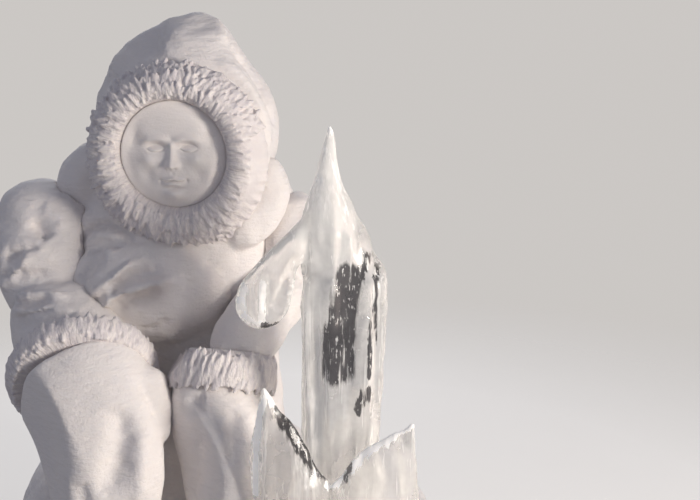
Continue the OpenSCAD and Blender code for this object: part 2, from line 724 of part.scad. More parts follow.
// Leaf of ice hanging from the left edge of the tall flame
module drooping_petal() {
    color(ice) difference() {
        at_fire(column_height) soft_form(
            [[-0.21 * petal_reach, 0, 0.97 * petal_reach], [-0.39 * petal_reach, 0, 0.44 * petal_reach],
             [-0.97 * petal_reach, -0.04 * petal_reach, 0.1 * petal_reach],
             [-petal_reach, -0.06 * petal_reach, -0.62 * petal_reach]],
            function(t) petal_width / 2 * lookup(t, [[0, 0.2], [0.25, 0.32], [0.5, 0.54],
                [0.65, 0.76], [0.8, 0.98], [1, 1.06]]),
            function(t) petal_thickness / 2 * mix(0.7, 1, t),
            [0, 1, 0], 18, 13, 0.2, 0.22, 1.7);
        column_form();
        tall_flame_form();
    }
}
module left_flame_form() {
    at_fire() translate([0, -0.2 * hearth_width, 0]) flame_form(
        [[0, -0.464, 0.384], [0.18, -0.49, 0.464], [0.47, -0.5, 0.5], [0.54, -0.576, 0.45],
         [0.613, -0.652, 0.388], [0.733, -0.714, 0.308], [0.85, -0.772, 0.196],
         [0.93, -0.84, 0.09], [1, -0.87, 0.008]],
        left_flame_height, flame_width, flame_thickness);
}
module left_flame() {
    color(ice) difference() {
        left_flame_form();
        column_form();
    }
}
module right_flame() {
    color(ice) difference() {
        at_fire() translate([0, -0.22 * hearth_width, 0]) flame_form(
            [[0, 0.357, 0.42], [0.3, 0.357, 0.52], [0.56, 0.366, 0.54], [0.647, 0.38, 0.5],
             [0.734, 0.455, 0.41], [0.85, 0.527, 0.312], [0.892, 0.607, 0.223],
             [0.962, 0.741, 0.076], [1, 0.8, 0.008]],
            right_flame_height, flame_width, flame_thickness);
        column_form();
        left_flame_form();
    }
}
module rear_flame() {
    color(ice) difference() {
        at_fire() translate([0, 0.29 * hearth_width, 0]) flame_form(
            [[0, 0.06, 0.4], [0.2, 0.06, 0.48], [0.4, 0.08, 0.46], [0.6, 0.12, 0.36],
             [0.8, 0.18, 0.2], [0.92, 0.22, 0.09], [1, 0.25, 0.008]],
            rear_flame_height, flame_width * 0.88, flame_thickness);
        column_form();
    }
}

snow_base();
parka_body();
parka_front();
left_shoulder();
right_shoulder();
left_upper_sleeve();
right_upper_sleeve();
left_lower_sleeve();
right_lower_sleeve();
left_cuff();
right_cuff();
left_mitten();
right_mitten();
left_thumb();
right_thumb();
left_leg();
right_leg();
hood();
hood_collar();
fur_ruff();
face();
ice_hearth();
ice_column();
tall_flame();
drooping_petal();
left_flame();
right_flame();
rear_flame();
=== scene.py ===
"""Looks of a carved snow figure in a fur-trimmed parka, seated by a fire of clear ice."""
import math
import random

import bpy
import numpy as np
from mathutils import Matrix, Vector


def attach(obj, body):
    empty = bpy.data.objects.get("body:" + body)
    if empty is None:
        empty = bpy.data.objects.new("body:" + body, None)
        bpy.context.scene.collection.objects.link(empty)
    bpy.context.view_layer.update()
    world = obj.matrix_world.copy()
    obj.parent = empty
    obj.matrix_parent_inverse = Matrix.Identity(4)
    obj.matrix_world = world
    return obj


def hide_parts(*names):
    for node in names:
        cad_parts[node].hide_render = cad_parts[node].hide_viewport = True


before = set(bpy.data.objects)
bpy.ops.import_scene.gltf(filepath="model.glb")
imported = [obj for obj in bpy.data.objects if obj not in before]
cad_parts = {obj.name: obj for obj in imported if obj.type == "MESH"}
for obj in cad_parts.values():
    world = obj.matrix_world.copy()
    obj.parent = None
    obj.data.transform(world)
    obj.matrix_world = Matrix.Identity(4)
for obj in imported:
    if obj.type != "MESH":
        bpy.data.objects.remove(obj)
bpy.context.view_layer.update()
chance = random.Random(7)

# Places of the figure and of its head, in metres, as the solids have them
FIGURE = Matrix.Translation((-0.130, 0.235, 0.150)) @ Matrix.Rotation(math.radians(7), 4, "Z")
HEAD = (FIGURE @ Matrix.Translation((0.025, -0.235, 1.190)) @ Matrix.Rotation(math.radians(-9), 4, "Z")
        @ Matrix.Rotation(math.radians(96), 4, "X"))

# Ruff around the face: half width, height over width, width of the fur band, and depth
RUFF_RADIUS = 0.266
RUFF_OVAL = 548 / 532
RUFF_BAND = 0.118
RUFF_DEPTH = 0.098


# Selecting and shaping
def only(piece):
    """Selects one piece alone and makes it the active one."""
    bpy.ops.object.select_all(action="DESELECT")
    piece.select_set(True)
    bpy.context.view_layer.objects.active = piece


def edit(piece):
    """Opens a piece in edit mode with everything selected."""
    only(piece)
    bpy.ops.object.mode_set(mode="EDIT")
    bpy.ops.mesh.select_all(action="SELECT")


def done():
    """Goes back to object mode."""
    bpy.ops.object.mode_set(mode="OBJECT")


def finish_with(piece, kind, **settings):
    """Adds one modifier to a piece and applies it."""
    only(piece)
    modifier = piece.modifiers.new(kind.lower(), kind)
    for name, value in settings.items():
        setattr(modifier, name, value)
    bpy.ops.object.modifier_apply(modifier=modifier.name)


def remesh(piece, voxel):
    """Makes one closed skin around all that a piece consists of."""
    finish_with(piece, "REMESH", mode="VOXEL", voxel_size=voxel)


def smooth(piece, rounds, **settings):
    """Evens a surface out, more with each round."""
    finish_with(piece, "SMOOTH", factor=0.5, iterations=rounds, **settings)


def join(name, pieces):
    """Joins pieces into one."""
    only(pieces[0])
    for piece in pieces[1:]:
        piece.select_set(True)
    bpy.ops.object.join()
    pieces[0].name = name
    return pieces[0]


def from_node(name, node):
    """New piece with the shape of one solid of the frame, its doubled points merged."""
    piece = bpy.data.objects.new(name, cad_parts[node].data.copy())
    bpy.context.scene.collection.objects.link(piece)
    piece.data.materials.clear()
    edit(piece)
    bpy.ops.mesh.remove_doubles(threshold=0.0002)
    bpy.ops.mesh.tris_convert_to_quads()
    done()
    return piece


def points_of(piece, what="co"):
    """Places of all points of a piece, or their normals."""
    values = np.empty(len(piece.data.vertices) * 3, np.float32)
    piece.data.vertices.foreach_get(what, values)
    return values.reshape(-1, 3)


def move_points(piece, points):
    """Puts all points of a piece to new places."""
    piece.data.vertices.foreach_set("co", np.ascontiguousarray(points, np.float32).ravel())
    piece.data.update()


def carve(piece, line, width, depth):
    """Cuts a groove along a line of points on a piece, or raises a ridge where depth is negative."""
    line = [Vector(point) for point in line]
    steps = np.linspace(0, len(line) - 1.0001, 8 * len(line))
    places = np.array([line[int(s)].lerp(line[min(int(s) + 1, len(line) - 1)], s % 1) for s in steps])
    points = points_of(piece)
    span = np.ptp(places, axis=0).max() / 2 + 3 * width
    near = np.where(np.abs(points - places.mean(0)).max(1) < span)[0]
    if not len(near):
        return
    # The line is laid onto the surface first, so that the groove gets its whole depth
    gaps = np.linalg.norm(points[near, None, :] - places[None, :, :], axis=2)
    laid = points[near][gaps.argmin(0)]
    gaps = np.linalg.norm(points[near, None, :] - laid[None, :, :], axis=2)
    along = gaps.argmin(1) / (len(places) - 1)
    taper = np.clip(4 * np.minimum(along, 1 - along) + 0.05, 0, 1)
    push = np.exp(-(gaps.min(1) / width) ** 2) * taper ** 2 * (3 - 2 * taper)
    points[near] -= points_of(piece, "normal")[near] * (depth * push)[:, None]
    move_points(piece, points)


def melt(piece, middle, reach, rounds):
    """Smooths a form around one spot."""
    gaps = np.linalg.norm((points_of(piece) - np.array(middle)) / np.array(reach), axis=1)
    group = piece.vertex_groups.new(name="melt")
    group.add([int(i) for i in np.where(gaps < 1)[0]], 1.0, "REPLACE")
    smooth(piece, rounds, vertex_group=group.name)
    piece.vertex_groups.clear()


def shave(piece, place, facing, middle, reach, strength=0.9):
    """Takes off what stands out beyond a plane around one spot, as a flat chisel does."""
    points = points_of(piece).astype(float)
    facing = np.array(Vector(facing).normalized())
    beyond = np.clip((points - np.array(place)) @ facing, 0, None)
    near = np.exp(-(np.linalg.norm((points - np.array(middle)) / np.array(reach), axis=1)) ** 4)
    move_points(piece, points - (beyond * near * strength)[:, None] * facing)


def roughen(piece, size, height, seed, stretch=(1, 1, 1), sharp=False, where=None, waves=10):
    """Uneven, hand-worked surface: swellings of one size and height, or flutes with sharp ridges."""
    points = points_of(piece)
    spread = points * np.array(stretch)
    wave = np.zeros(len(points))
    source = np.random.RandomState(seed)
    for _ in range(waves):
        direction = source.normal(size=3)
        direction *= 2 * math.pi / (size * (0.7 + 0.6 * source.rand())) / np.linalg.norm(direction)
        phase = (spread @ direction + 6.28 * source.rand()
                 + 1.3 * np.sin(spread @ direction[[1, 2, 0]] * 0.6))
        wave += 1.3 - 2 * np.abs(np.sin(phase / 2)) if sharp else np.sin(phase)
    if where:
        wave *= where(points)
    move_points(piece, points + points_of(piece, "normal") * (wave * height / 4)[:, None])


def place_piece(piece, slot, material, *nodes):
    """Dresses a finished piece and lets it stand for its solids."""
    only(piece)
    bpy.ops.object.shade_smooth()
    piece.data.materials.clear()
    piece.data.materials.append(material)
    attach(piece, "root")
    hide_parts(*nodes)


# Materials
class Shade:
    """A shader socket that takes part in sums."""

    def __init__(self, tree, socket):
        self.tree, self.socket = tree, socket

    def put(self, value, socket):
        """Links a value to a socket of a node, or sets it there."""
        if isinstance(value, Shade):
            self.tree.links.new(value.socket, socket)
        elif socket.type == "RGBA":
            socket.default_value = (*value, 1)
        else:
            socket.default_value = value

    def node(self, kind, settings=None, out=0, **values):
        """Adds a node: first its settings, then the values or links of its sockets."""
        made = self.tree.nodes.new(kind)
        for name, value in (settings or {}).items():
            setattr(made, name, value)
        for name, value in values.items():
            self.put(value, next(s for s in made.inputs if s.enabled and s.name.replace(" ", "_") == name))
        return Shade(self.tree, made.outputs[out] if isinstance(out, int) else
                     next(s for s in made.outputs if s.enabled and s.name == out))

    def maths(self, operation, other, clamp=False, swap=False):
        """Adds a Math node of this value and another, the other one first with swap."""
        made = self.tree.nodes.new("ShaderNodeMath")
        made.operation, made.use_clamp = operation, clamp
        for value, socket in zip((other, self) if swap else (self, other), made.inputs):
            self.put(value, socket)
        return Shade(self.tree, made.outputs[0])

    def __add__(self, other):
        return self.maths("ADD", other)

    def __radd__(self, other):
        return self.maths("ADD", other, swap=True)

    def __sub__(self, other):
        return self.maths("SUBTRACT", other)

    def __rsub__(self, other):
        return self.maths("SUBTRACT", other, swap=True)

    def __mul__(self, other):
        return self.maths("MULTIPLY", other)

    def __truediv__(self, other):
        return self.maths("DIVIDE", other)

    def clip(self):
        """The value, kept between 0 and 1."""
        return self.maths("ADD", 0.0, clamp=True)

    def above(self, edge, softness):
        """1 where the value is above an edge, with a soft step."""
        return ((self - edge) / softness).clip()

    def blend(self, low, high):
        """A colour between two, by this value."""
        return self.node("ShaderNodeMix", {"data_type": "RGBA"}, out="Result",
                         Factor=self, A=low, B=high)

    def axes(self):
        """The three parts of a place: across, deep and upright."""
        made = self.tree.nodes.new("ShaderNodeSeparateXYZ")
        self.put(self, made.inputs[0])
        return [Shade(self.tree, socket) for socket in made.outputs]


def new_material(name, **constants):
    """Material with one Principled shader; gives it, its shader and its object coordinates."""
    material = bpy.data.materials.new(name)
    material.use_nodes = True
    tree = material.node_tree
    shader = tree.nodes["Principled BSDF"]
    for socket, value in constants.items():
        shader.inputs[socket.replace("_", " ")].default_value = value
    here = Shade(tree, tree.nodes.new("ShaderNodeTexCoord").outputs["Object"])
    return material, shader, here


def feed(shader, socket, value):
    """Links a value to a named socket of a shader."""
    value.tree.links.new(value.socket, shader.inputs[socket])


def noise(here, scale, detail=3.0, roughness=0.5):
    """Cloudy pattern; the scale says how fine it is."""
    return here.node("ShaderNodeTexNoise", out="Fac", Vector=here, Scale=scale, Detail=detail,
                     Roughness=roughness)


def stretched(here, x, y, z):
    """Object coordinates for a pattern that is drawn out where a number is small."""
    return here.node("ShaderNodeMapping", Vector=here, Scale=(x, y, z))


def fur_strokes(here, ring, radius, outwards):
    """Fine strokes of carved fur round a ring: outwards on the ruff, lengthwise on a cuff."""
    local = here.node("ShaderNodeMapping", {"vector_type": "TEXTURE"}, Vector=here,
                      Location=ring.translation, Rotation=ring.to_euler())
    x, y, z = local.axes()
    away = (x * x + y * y).maths("POWER", 0.5)
    sway = noise(here, 32.0, 2.0) * 0.018
    place = local.node("ShaderNodeCombineXYZ", X=x / away * radius + sway, Y=y / away * radius,
                       Z=(away if outwards else z) * 0.24)
    strokes = noise(place, 135.0, 3.0, 0.6)
    if outwards:
        # The ruff's outer edge at the right is worn smooth
        worn = away.above(0.19, 0.04) * (x / away).above(0.76, 0.14)
        strokes = strokes * (1 - worn) + worn * 0.5
    return strokes


# Index of refraction of ice, and so of snow
ICE_IOR = 1.31


def carved_snow(name, light, shade, grain, scrape, strokes=()):
    """Packed snow: uneven in colour, grainy, with shallow scrape marks of the carving tools."""
    material, shader, here = new_material(
        name, IOR=ICE_IOR, Specular_IOR_Level=0.3, Subsurface_Weight=0.12,
        Subsurface_Radius=(0.012, 0.014, 0.018), Subsurface_Scale=1.0)
    patches = noise(here, 4.5, 4.0, 0.55)
    soot = noise(here, 17.0, 5.0, 0.6)
    lightness = patches * 0.7 + soot * 0.5 - 0.1
    marks = noise(stretched(here, 1.0, 1.0, 3.2), 26.0, 2.0, 0.5)
    if strokes:
        fur = fur_strokes(here, *strokes)
        # Painted shade in the valleys between the fur strokes and painted light on their crests, following
        # their bump
        lightness = lightness + fur.above(0.3, 0.4) * 0.9 - 0.6
        marks = marks + fur * 5.0
    feed(shader, "Base Color", lightness.clip().blend(shade, light))
    grains = noise(here, 620.0, 2.0, 0.7)
    crumbs = noise(here, 150.0, 3.0, 0.6)
    height = marks * scrape + crumbs * grain + grains * (grain * 0.5)
    bump = here.node("ShaderNodeBump", out="Normal", Strength=0.9, Distance=0.006, Height=height)
    feed(shader, "Normal", bump)
    feed(shader, "Roughness", (crumbs * 0.3 + 0.66).clip())
    return material


def fur_snow(name, *strokes):
    """Snow carved as fur, with fine strokes round a ring, painted light on their crests and painted shade
    in their valleys.
    """
    return carved_snow(name, (0.90, 0.845, 0.795), (0.66, 0.61, 0.62), grain=0.4, scrape=0.2,
                       strokes=strokes)


SNOW = carved_snow("carved_snow", (0.88, 0.82, 0.765), (0.75, 0.715, 0.72), grain=0.35, scrape=0.8)
SMOOTH_SNOW = carved_snow("smooth_snow", (0.88, 0.82, 0.77), (0.78, 0.74, 0.73), grain=0.16, scrape=0.25)
RUFF_SNOW = fur_snow("ruff_snow", HEAD, 0.21, True)


# Painted dark reflections of the surroundings, in the column and under the petal: lower and upper end as x
# and z, and half width
COLUMN_DARK_REFLECTIONS = (((0.388, 0.808), (0.391, 0.90), 0.035), ((0.394, 0.90), (0.420, 1.050), 0.028),
                ((0.452, 1.060), (0.466, 1.100), 0.007), ((0.470, 0.79), (0.491, 1.07), 0.006),
                ((0.443, 0.70), (0.461, 0.75), 0.011), ((0.199, 0.918), (0.240, 0.920), 0.007))
# Painted dark reflections in the two front flames, given the same way
FLAME_DARK_REFLECTIONS = (((0.250, 0.715), (0.350, 0.56), 0.020), ((0.411, 0.54), (0.421, 0.575), 0.006))
# White rims of the two front flames and of the petal, painted light that glows along their edges, given
# the same way
FLAME_GLOW_RIMS = (((0.210, 0.765), (0.190, 0.700), 0.008), ((0.190, 0.700), (0.182, 0.640), 0.009),
              ((0.182, 0.640), (0.182, 0.500), 0.009), ((0.218, 0.757), (0.243, 0.712), 0.007),
              ((0.375, 0.522), (0.421, 0.569), 0.010), ((0.421, 0.569), (0.470, 0.618), 0.009),
              ((0.470, 0.618), (0.575, 0.680), 0.008))
PETAL_GLOW_RIMS = (((0.152, 1.020), (0.143, 0.985), 0.007), ((0.143, 0.985), (0.153, 0.945), 0.008),
              ((0.153, 0.945), (0.188, 0.925), 0.008), ((0.193, 0.935), (0.202, 1.030), 0.009))
# How far back, as y, the column's painted dark reflections show, and those and the painted light rims of
# the front flames
DARK_REFLECTIONS_BACK = -0.33
FLAMES_BACK = -0.425
# Left side of the column, as x
COLUMN_LEFT = 0.27


def painted_streak(across, upright, start, end, half_width, waver):
    """Long thin patch inside the ice between two places, given as x and z: a painted dark reflection or a
    painted light rim.
    """
    run, climb = end[0] - start[0], end[1] - start[1]
    share = (((across - start[0]) * run + (upright - start[1]) * climb) / (run ** 2 + climb ** 2)).clip()
    aside = across - start[0] - share * run
    above = upright - start[1] - share * climb
    gap = (aside * aside + above * above).maths("POWER", 0.5)
    return 1 - (gap + waver).above(half_width, half_width * 0.35)


def lay_rime_and_glow(shader, bump, rime_and_glow, colour=(0.97, 0.95, 0.92)):
    """Lays white rime, which hardly lets light through and glows faintly as painted light, over a shader.
    """
    tree = shader.id_data
    # Its faint emission is painted glow of the rime and rims
    white = bump.node("ShaderNodeBsdfPrincipled", out="BSDF", Roughness=0.5, IOR=ICE_IOR,
                      Base_Color=colour, Transmission_Weight=0.08, Normal=bump,
                      Emission_Color=colour, Emission_Strength=0.14)
    both = tree.nodes.new("ShaderNodeMixShader")
    feed(both, "Fac", rime_and_glow)
    tree.links.new(shader.outputs["BSDF"], both.inputs[1])
    tree.links.new(white.socket, both.inputs[2])
    tree.links.new(both.outputs[0], tree.nodes["Material Output"].inputs["Surface"])


def clear_ice():
    """Clear ice: glassy, with upright streaks and frost clouds, painted dark reflections inside, white
    rime with a faint painted glow, and painted light along its rims.
    """
    material, shader, here = new_material("clear_ice", IOR=ICE_IOR, Transmission_Weight=0.88)
    across, deep, upright = here.axes()
    streaks = noise(stretched(here, 1.0, 1.0, 0.05), 70.0, 3.0, 0.6)
    clouds = noise(here, 7.0, 4.0, 0.6)
    flecks = noise(stretched(here, 1.0, 1.0, 0.3), 160.0, 2.0, 0.6)
    ripple = noise(stretched(here, 1.0, 1.0, 0.25), 18.0, 2.0, 0.5)
    waver = (streaks - 0.5) * 0.045 + (flecks - 0.5) * 0.012

    def painted_streaks(places):
        """All painted dark reflections or painted light rims of one list."""
        return sum((painted_streak(across, upright, *place, waver) for place in places), 0.0)

    # Painted dark reflections in the front of the ice, broken up by flecks and streaks
    in_front = (DARK_REFLECTIONS_BACK - deep).above(0.0, 0.02)
    in_flames = (FLAMES_BACK - deep).above(0.0, 0.012)
    dark_reflection = painted_streaks(COLUMN_DARK_REFLECTIONS) * in_front + painted_streaks(FLAME_DARK_REFLECTIONS) * in_flames
    dark_reflection = dark_reflection.clip() * (1 - flecks.above(0.62, 0.06)) * (1 - streaks.above(0.57, 0.07) * 0.85)

    # Frost in the ice, and its melted surface
    frost = (streaks.above(0.56, 0.12) * 0.55 + clouds.above(0.54, 0.2) * 0.45).clip()
    pale = frost.blend((0.965, 0.945, 0.925), (0.99, 0.97, 0.945))
    # The painted dark reflections darken the base colour of the ice
    feed(shader, "Base Color", dark_reflection.blend(pale, (0.035, 0.033, 0.038)))
    feed(shader, "Roughness", frost * 0.3 + 0.03)
    bump = here.node("ShaderNodeBump", out="Normal", Strength=0.5, Distance=0.006,
                     Height=ripple + streaks * 0.3 + flecks * 0.06)
    feed(shader, "Normal", bump)

    # White rime on ridges and tip and at the column's left side, painted light along the rims, and a veil
    # of rime over the rest, all with a faint painted glow
    ridges = here.node("ShaderNodeNewGeometry", out="Pointiness").above(0.535, 0.07)
    tip = upright.above(1.17, 0.14) * (0.25 + streaks.above(0.45, 0.2) * 0.5)
    glow_rims = painted_streaks(FLAME_GLOW_RIMS) * in_flames + painted_streaks(PETAL_GLOW_RIMS) * 0.6
    side = (0.352 - across).above(0.0, 0.03) * (across - COLUMN_LEFT).above(0.0, 0.02)
    side = side * streaks.above(0.4, 0.3)
    side = side * (1.0 - upright.above(0.93, 0.1)) * upright.above(0.45, 0.1)
    rime_and_glow = ridges * 0.85 + tip + side * 0.5 + glow_rims.clip() * 0.9 + streaks.above(0.6, 0.08) * 0.3
    rime_and_glow = (rime_and_glow + clouds.above(0.42, 0.3) * 0.16 + 0.14) * (1 - dark_reflection * 0.9)
    lay_rime_and_glow(shader, bump, rime_and_glow.clip())
    return material


ICE = clear_ice()


# Folds, creases and hollows worked into a form: width, depth (a ridge where negative) and line
FOLDS = {
    "coat": (
        # Chest
        (0.012, -0.020, (-0.335, -0.108, 0.925), (-0.249, -0.115, 0.984), (-0.175, -0.092, 1.045)),
        (0.013, -0.030, (-0.312, -0.126, 0.895), (-0.229, -0.121, 0.947), (-0.149, -0.118, 0.971),
         (-0.070, -0.103, 0.983)),
        (0.018, 0.022, (-0.270, -0.120, 0.945), (-0.206, -0.111, 0.994), (-0.110, -0.094, 1.016)),
        (0.020, 0.024, (-0.275, -0.118, 0.886), (-0.193, -0.118, 0.931), (-0.110, -0.110, 0.944)),
        (0.009, 0.012, (-0.193, -0.094, 0.832), (-0.144, -0.097, 0.843), (-0.099, -0.099, 0.865)),
        (0.014, 0.016, (-0.010, -0.027, 1.032), (0.029, -0.012, 0.996), (0.058, 0.016, 0.952)),
        (0.030, 0.018, (-0.365, -0.068, 0.960), (-0.340, -0.060, 1.010), (-0.290, -0.060, 1.060)),
        # Neck, below the ruff
        (0.013, 0.026, (-0.405, 0.066, 1.062), (-0.351, 0.030, 1.117), (-0.299, 0.005, 1.132),
         (-0.249, -0.018, 1.112), (-0.200, -0.030, 1.078)),
        (0.011, -0.012, (-0.378, 0.040, 1.045), (-0.318, 0.004, 1.095), (-0.250, -0.016, 1.090)),
        (0.014, 0.018, (-0.350, 0.000, 1.040), (-0.298, -0.030, 1.068), (-0.230, -0.040, 1.070)),
        # Back
        (0.055, 0.020, (-0.150, 0.520, 1.160), (-0.190, 0.560, 0.850), (-0.180, 0.560, 0.480)),
        (0.050, 0.016, (-0.330, 0.430, 1.060), (-0.390, 0.480, 0.780), (-0.400, 0.500, 0.460)),
        (0.050, 0.016, (0.020, 0.480, 1.080), (0.050, 0.520, 0.800), (0.070, 0.530, 0.470)),
    ),
    "left_sleeve": (
        # Wrinkles from the shoulder down to the cuff
        (0.016, 0.026, (-0.522, 0.003, 1.144), (-0.490, -0.007, 1.116), (-0.466, -0.022, 1.085)),
        (0.022, -0.010, (-0.500, 0.020, 1.180), (-0.450, 0.020, 1.150), (-0.420, 0.000, 1.100)),
        (0.013, 0.015, (-0.625, -0.030, 0.972), (-0.540, -0.066, 0.992), (-0.440, -0.062, 0.990)),
        (0.014, -0.013, (-0.610, -0.030, 0.935), (-0.560, -0.060, 0.985), (-0.500, -0.064, 1.055)),
        (0.016, 0.015, (-0.580, -0.090, 0.925), (-0.500, -0.135, 0.915), (-0.410, -0.152, 0.930)),
        (0.013, -0.013, (-0.565, -0.115, 0.905), (-0.465, -0.170, 0.893), (-0.385, -0.182, 0.908)),
        (0.014, 0.015, (-0.540, -0.150, 0.862), (-0.425, -0.207, 0.878), (-0.315, -0.212, 0.902)),
        (0.020, 0.012, (-0.600, -0.040, 1.060), (-0.560, -0.050, 1.040), (-0.520, -0.060, 1.000)),
        (0.011, -0.015, (-0.578, -0.048, 0.909), (-0.489, -0.125, 0.939), (-0.428, -0.134, 0.947),
         (-0.364, -0.159, 0.935)),
        (0.010, 0.016, (-0.533, -0.140, 0.873), (-0.456, -0.188, 0.908), (-0.392, -0.196, 0.922)),
        (0.011, 0.016, (-0.591, -0.040, 1.021), (-0.539, -0.048, 1.058), (-0.481, -0.044, 1.069)),
    ),
    "left_hand": (
        # Between thumb and hand, then soft hollows along the hand
        (0.012, 0.010, (-0.139, -0.336, 0.773), (-0.116, -0.343, 0.731), (-0.095, -0.350, 0.684),
         (-0.080, -0.343, 0.634)),
        (0.036, 0.014, (-0.079, -0.240, 0.752), (-0.061, -0.278, 0.728), (-0.054, -0.308, 0.685),
         (-0.061, -0.320, 0.644), (-0.074, -0.327, 0.602)),
        (0.032, 0.026, (-0.175, -0.400, 0.720), (-0.166, -0.410, 0.638), (-0.180, -0.435, 0.570),
         (-0.195, -0.459, 0.490)),
        (0.022, -0.014, (-0.120, -0.395, 0.660), (-0.118, -0.425, 0.560), (-0.130, -0.442, 0.460)),
        (0.022, 0.014, (-0.262, -0.470, 0.545), (-0.250, -0.480, 0.500), (-0.255, -0.470, 0.440)),
    ),
    "right_hand": (
        (0.022, 0.018, (-0.012, -0.313, 0.709), (0.009, -0.328, 0.690), (0.037, -0.331, 0.704)),
        (0.024, 0.012, (0.030, -0.340, 0.640), (0.006, -0.345, 0.511), (-0.010, -0.340, 0.427)),
        (0.020, 0.010, (0.110, -0.330, 0.690), (0.118, -0.372, 0.620), (0.112, -0.415, 0.530)),
    ),
    "right_sleeve": (
        (0.014, 0.012, (0.170, 0.010, 1.020), (0.215, -0.020, 0.990), (0.260, 0.020, 0.980)),
        (0.016, 0.010, (0.120, -0.060, 0.950), (0.180, -0.110, 0.925), (0.240, -0.090, 0.930)),
    ),
    "hood": (
        # Band over the crown, and the grooves beside it
        (0.020, -0.016, (0.050, 0.006, 1.612), (0.064, 0.002, 1.600), (0.105, 0.013, 1.559),
         (0.138, 0.011, 1.508), (0.165, 0.015, 1.450), (0.182, 0.030, 1.380)),
        (0.014, 0.014, (0.070, 0.060, 1.630), (0.103, 0.101, 1.599), (0.146, 0.103, 1.535),
         (0.177, 0.079, 1.465), (0.192, 0.100, 1.405)),
        (0.018, -0.012, (0.015, 0.150, 1.740), (0.040, 0.089, 1.690), (0.056, 0.046, 1.640)),
        (0.040, 0.014, (-0.050, 0.120, 1.730), (-0.020, 0.085, 1.705), (0.008, 0.060, 1.680)),
        # Hollows at the left
        (0.060, 0.020, (-0.300, 0.060, 1.520), (-0.214, 0.060, 1.630), (-0.106, 0.050, 1.680)),
        (0.075, 0.026, (-0.370, 0.080, 1.360), (-0.345, 0.100, 1.470), (-0.280, 0.110, 1.590)),
    ),
    "ice_flame": (
        # Lip of the petal
        (0.012, 0.010, (0.267, -0.376, 1.054), (0.247, -0.383, 1.009), (0.223, -0.385, 0.966)),
        (0.010, -0.008, (0.292, -0.380, 1.050), (0.274, -0.380, 0.990), (0.240, -0.380, 0.935)),
        (0.009, -0.006, (0.205, -0.380, 1.040), (0.192, -0.380, 0.990), (0.200, -0.380, 0.940)),
    ),
}

# Flat facets shaved off mittens and cuff: a place on the plane, its direction, the middle and the reach
FACETS = {
    "left_hand": (
        ((-0.304, -0.434, 0.66), (-0.60, -0.79, -0.08), (-0.38, -0.38, 0.62), (0.15, 0.16, 0.28)),
    ),
    "right_hand": (
        ((0.052, -0.372, 0.62), (-0.66, -0.74, -0.1), (0.0, -0.36, 0.58), (0.12, 0.14, 0.24)),
    ),
    "right_cuff": (
        ((-0.030, -0.270, 0.800), (-0.83, 0, 0.56), (-0.060, -0.210, 0.820), (0.09, 0.14, 0.09)),
    ),
}

# Places where two forms flow into one another: middle, reach and rounds of smoothing
MELTS = {
    "left_hand": (((-0.135, -0.33, 0.75), (0.13, 0.16, 0.17), 70),),
    "coat": (((-0.35, 0.36, 1.25), (0.16, 0.2, 0.14), 30), ((0.10, 0.40, 1.22), (0.16, 0.2, 0.14), 30)),
    "ice_flame": (((0.40, -0.33, 1.035), (0.16, 0.2, 0.11), 70),),
}

# Places rubbed smooth after the carving, given the same way
RUBBED = {
    "left_hand": (((-0.074, -0.280, 0.765), (0.06, 0.08, 0.05), 25),
                  ((-0.220, -0.390, 0.790), (0.12, 0.12, 0.09), 25)),
    "hood": (((-0.020, 0.100, 1.710), (0.09, 0.10, 0.06), 25),
             ((0.035, 0.030, 1.625), (0.08, 0.08, 0.05), 35)),
}

# Solids whose edges stay as they are, where all others are rounded off
STRAIGHT = ("snow_base", "ice_column", "tall_flame")
# How far snow and ice grow out of their solids, so that forms meet
SNOW_GROWTH = 0.005
ICE_GROWTH = 0.002


def grown_together(name, voxel, grow, rounds, nodes):
    """One form out of one or more solids, with soft creases where they meet."""
    parts = []
    for node in nodes:
        part = from_node(name, node)
        if node not in STRAIGHT:
            finish_with(part, "SUBSURF", levels=2, render_levels=2)
        if grow:
            finish_with(part, "DISPLACE", strength=grow, mid_level=0.0)
        parts.append(part)
    piece = join(name, parts)
    remesh(piece, voxel)
    smooth(piece, rounds)
    return piece


def work_by_hand(form, name):
    """Does to a form what the lists above say for it."""
    for place, facing, middle, reach in FACETS.get(name, ()):
        shave(form, place, facing, middle, reach)
    for middle, reach, rounds in MELTS.get(name, ()):
        melt(form, middle, reach, rounds)
    for width, depth, *line in FOLDS.get(name, ()):
        carve(form, line, width, depth)
    for middle, reach, rounds in RUBBED.get(name, ()):
        melt(form, middle, reach, rounds)


# Forms of snow: name, voxel size, rounds of smoothing, and the solids that they stand for
SNOW_FORMS = (
    ("snow_base", 0.013, 3, "snow_base"),
    ("coat", 0.008, 6, "parka_body", "parka_front", "left_shoulder", "right_shoulder", "hood_collar"),
    ("left_sleeve", 0.0068, 6, "left_upper_sleeve", "left_lower_sleeve"),
    ("right_sleeve", 0.0075, 6, "right_upper_sleeve", "right_lower_sleeve"),
    ("left_hand", 0.0064, 8, "left_mitten", "left_thumb"),
    ("right_hand", 0.0066, 8, "right_mitten", "right_thumb"),
    ("left_leg", 0.009, 5, "left_leg"),
    ("right_leg", 0.009, 5, "right_leg"),
    ("hood", 0.0075, 6, "hood"),
)
# All of the base that lies lower than this is made its flat underside
UNDERSIDE = 0.008


def snow_form(seed, name, voxel, rounds, *nodes):
    """One form of snow: swollen unevenly and worked by hand."""
    slab = name == "snow_base"
    form = grown_together(name + "_form", voxel, 0 if slab else SNOW_GROWTH, rounds, nodes)
    swell = 0.002 if name.endswith("hand") else 0.0035
    roughen(form, 0.11, swell, seed)
    roughen(form, 0.035, swell * 0.2, seed + 1)
    work_by_hand(form, name)
    smooth(form, 5 if name == "left_hand" else 1)
    if slab:
        points = points_of(form)
        points[points[:, 2] < UNDERSIDE, 2] = 0
        move_points(form, points)
    place_piece(form, "carved_snow", SNOW, *nodes)


for number, values in enumerate(SNOW_FORMS):
    snow_form(10 * number, *values)


